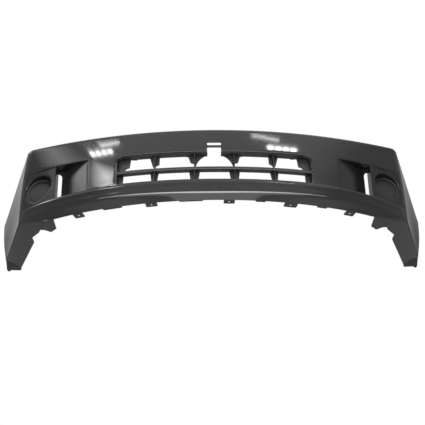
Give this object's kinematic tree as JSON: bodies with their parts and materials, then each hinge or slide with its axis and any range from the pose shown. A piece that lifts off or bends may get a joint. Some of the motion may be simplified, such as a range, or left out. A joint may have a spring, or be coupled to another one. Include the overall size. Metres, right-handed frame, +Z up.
{
  "type": "front bumper cover",
  "caption": "Wrap-around front bumper cover with a barred lower intake, fog lamp pockets closed by blanks, air slots, clip tabs and wheel arch flanges.",
  "frame": {"origin": "middle of the inner pair of bolt holes, on the upper face of the top flange", "axes": "+Z up as on the car, the cover faces -Y, +X to the viewer's right from the front"},
  "size_m": [1.6988, 0.4926, 0.359],
  "materials": {
    "cover": "smooth moulded black, glossy",
    "grille": "fine moulded grain, matt black",
    "blank": "satin black",
    "nylon": "dull black nylon",
    "zinc": "zinc plated"
  },
  "bodies": {
    "root": {"fascia": "cover", "lower_grille": "grille", "grille_screws": "zinc", "fog_bezel_left": "grille", "fog_bezel_right": "grille", "fog_blank_left": "blank", "fog_blank_right": "blank", "upper_retainer": "nylon", "upper_retainer_rivets": "nylon", "side_retainer_left": "nylon", "side_retainer_right": "nylon", "side_retainer_rivets_left": "nylon", "side_retainer_rivets_right": "nylon", "arch_nuts_left": "zinc", "arch_nuts_right": "zinc"}
  },
  "joints": []
}
